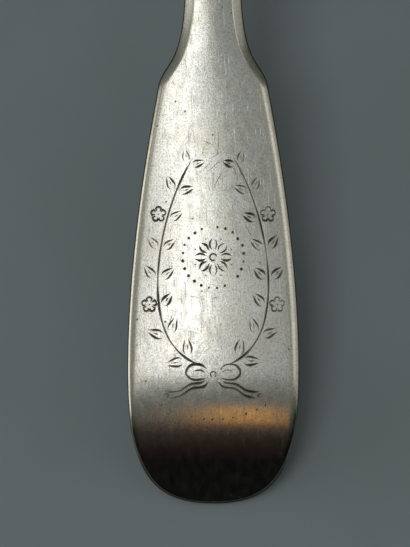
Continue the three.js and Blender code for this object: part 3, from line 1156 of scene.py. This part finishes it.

# Painted shade on the walls, at their brink, and on the bevel round the end, a dark dull
# coat that is no metal. A row gives measures in mm, with where the shade starts and where
# it is full, and it lies where all of a row agree.
PAINTED_EDGE_SHADE = [
    [("above face", -0.05, -0.4), ("from edge", 0.6, 0.2)],
    [("from edge", 0.26, 0.08)],
    [("from edge", 0.6, 0.4), ("along", 13, 7)],
]


def worn_handle_silver(tree):
    place = node(tree, "Attribute", attribute_name="blank").outputs["Vector"]
    from_edge = node(tree, "Attribute", attribute_name="from_edge").outputs["Fac"]
    _, along, above = node(tree, "SeparateXYZ", {"Vector": place}).outputs

    # Where it is rubbed white, and where its tarnish stays
    rubbed = patches(tree, place, (0.35, 0.42), 0.32, 0.52, start=0.2)
    outer = {"Value": from_edge, "From Min": 3 * MM, "From Max": 0, "To Max": 0.6}
    near_edge = node(tree, "MapRange", outer)
    blotches = patches(tree, place, (5, 7), 0.45, 0.8, most=0.4, start=0.1)
    yellowed = node(tree, "Math", {0: near_edge, 1: blotches}, operation="MAXIMUM")

    # Painted shade at the edges, and the metal that is free of it
    measures = {"above face": above, "from edge": from_edge, "along": along}
    painted_edge_shade = 0.0
    for row in PAINTED_EDGE_SHADE:
        thick = 1.0
        for measure, start, full in row:
            reach = {"Value": measures[measure], "From Min": start * MM, "From Max": full * MM}
            agrees = node(tree, "MapRange", reach)
            thick = node(tree, "Math", {0: thick, 1: agrees}, operation="MULTIPLY")
        painted_edge_shade = node(tree, "Math", {0: painted_edge_shade, 1: thick}, operation="MAXIMUM")
    # Where the painted shade is full, the silver stops being metallic
    unshaded_metal = node(tree, "MapRange", {"Value": painted_edge_shade, "From Min": 1, "From Max": 0.8})

    # Marks in a satin that is duller at the edges; handling has smoothed them at the end
    fading = {"Value": along, "From Min": 8 * MM, "From Max": 24 * MM, "To Min": 0.25}
    kept = node(tree, "MapRange", fading)
    scratches = hairlines(tree, place, HANDLE_SCRATCHES, kept)
    pitted = pits(tree, place, PIT_SPACING, PIT_RADIUS)
    haze = patches(tree, place, (1.1, 2.4), 0.3, 0.7, 0.14, 0.24, detail=4, start=0.3)
    relief, satin = scratched(tree, scratches, summed(tree, place, HANDLE_MARKS), haze)
    relief = node(tree, "Math", {0: relief, 1: kept}, operation="MULTIPLY")
    relief = node(tree, "Math", {0: pitted, 1: -PIT_DEPTH, 2: relief}, operation="MULTIPLY_ADD")
    dull_edge = node(tree, "Math", {0: near_edge, 1: kept}, operation="MULTIPLY")
    for dull, by in ((dull_edge, EDGE_DULLING), (painted_edge_shade, EDGE_SHADE_DULLING)):
        satin = node(tree, "Math", {0: dull, 1: by, 2: satin}, operation="MULTIPLY_ADD")

    # 211f1a is painted shade on the edge walls, their brink and the bevel round the end
    layers = (rubbed, "#e8e7df"), (yellowed, "#c7bf9f"), (pitted, "#4a443a"), (painted_edge_shade, "#211f1a")
    inputs = {
        "Base Color": layered(tree, "#c6c3b8", *layers),
        "Metallic": unshaded_metal,
        "Roughness": satin,
        "Normal": node(tree, "Bump", {"Height": relief, "Distance": MM}),
    }
    return node(tree, "BsdfPrincipled", inputs)


# %% [markdown]
# ## Silver of the bowl
#
# The bowl is the same alloy with another history. It was hammered over a stake and then
# planished with a polished hammer, whose blows, some six millimetres across, still show as
# soft facets in its shine. Inside, other spoons and scouring left fine scratches in every
# direction, and food leaves a dull, slightly yellow bloom below the rim. The rim itself is
# rubbed bright. The mesh gives each point's depth below the rim, which is what separates
# these.

# %% Scoured silver of the bowl
BOWL_MARKS = [(0.23, 0.25, 0, 0.004), (0.6, 0.7, 30, 0.003), (6, 7, 0, 0.03)]
BOWL_SCRATCHES = [(0.16, 9, -35, 0.68), (0.16, 12, 15, 0.69), (0.15, 8, 60, 0.68), (0.15, 14, 95, 0.7)]


def scoured_bowl_silver(tree):
    place = node(tree, "Attribute", attribute_name="blank").outputs["Vector"]
    below_rim = node(tree, "Attribute", attribute_name="from_edge").outputs["Fac"]

    rubbed = patches(tree, place, (0.4, 0.4), 0.34, 0.54, start=0.2)
    deeper = {"Value": below_rim, "From Min": 1.5 * MM, "From Max": 6 * MM, "To Max": 0.6}
    reach = node(tree, "MapRange", deeper)
    blotch = grain(tree, place, 8, 11, detail=4, start=0.1)
    bloom = node(tree, "Math", {0: reach, 1: blotch}, operation="MULTIPLY")

    scratches = hairlines(tree, place, BOWL_SCRATCHES)
    haze = patches(tree, place, (2, 2), 0.3, 0.7, 0.16, 0.27, detail=4, start=0.3)
    relief, satin = scratched(tree, scratches, summed(tree, place, BOWL_MARKS), haze)
    inputs = {
        "Base Color": layered(tree, "#c8c5ba", (rubbed, "#e8e7df"), (bloom, "#b9ad88")),
        "Metallic": 1,
        "Roughness": satin,
        "Normal": node(tree, "Bump", {"Height": relief, "Distance": MM}),
    }
    return node(tree, "BsdfPrincipled", inputs)


# %% [markdown]
# ## Hard solder and tarnish
#
# Hard silver solder holds zinc and copper and comes out of the fire duller and yellower
# than the sheet, with a skin that is lumpy where it ran and pored where gas came out. It
# shows as a thin line round the drop.
#
# Silver sulphide is black. It stays where no cloth reaches, which is at the bottom of the
# engraver's cuts, and there it is what makes an engraving readable. The cuts have a
# material slot of their own, and their colour follows the depth below the face, so that
# their sides stay bright metal and catch the light on one side, as in the photograph.


# %% Solder and tarnish
SOLDER_LUMPS = [(0.7, 1.1, 0, 0.02), (0.25, 0.3, 0, 0.006)]
PORE_SPACING = 0.8
PORE_RADIUS = 0.1


def pored_hard_solder(tree):
    place = node(tree, "Attribute", attribute_name="blank").outputs["Vector"]
    pores = pits(tree, place, PORE_SPACING, PORE_RADIUS)
    lumps = summed(tree, place, SOLDER_LUMPS)
    relief = node(tree, "Math", {0: pores, 1: -PIT_DEPTH, 2: lumps}, operation="MULTIPLY_ADD")
    oxide = grain(tree, place, 1.2, 1.6, detail=3)
    inputs = {
        "Base Color": layered(tree, "#c4b894", (oxide, "#a89c7d"), (pores, "#3d372b")),
        "Metallic": 1,
        "Roughness": 0.4,
        "Normal": node(tree, "Bump", {"Height": relief, "Distance": MM}),
    }
    return node(tree, "BsdfPrincipled", inputs)


def tarnish_in_cuts(tree):
    place = node(tree, "Attribute", attribute_name="blank").outputs["Vector"]
    above = node(tree, "SeparateXYZ", {"Vector": place}).outputs["Z"]
    sunk = {"Value": above, "From Min": -0.08 * MM, "From Max": -0.26 * MM}
    deep = node(tree, "MapRange", sunk)
    uneven = patches(tree, place, (0.9, 0.9), 0, 1, 0.7, 1.2, detail=2)
    blackened = node(tree, "Math", {0: deep, 1: uneven}, operation="MULTIPLY")
    inputs = {
        "Base Color": layered(tree, "#c6c3b6", (blackened, "#25211a")),
        "Metallic": 1,
        "Roughness": 0.4,
    }
    return node(tree, "BsdfPrincipled", inputs)


# %% Give each piece its materials
handle.data.materials.append(material("worn_sterling_silver", worn_handle_silver))
handle.data.materials.append(material("tarnished_silver", tarnish_in_cuts))
bowl.data.materials.append(material("scoured_sterling_silver", scoured_bowl_silver))
solder.data.materials.append(material("hard_silver_solder", pored_hard_solder))
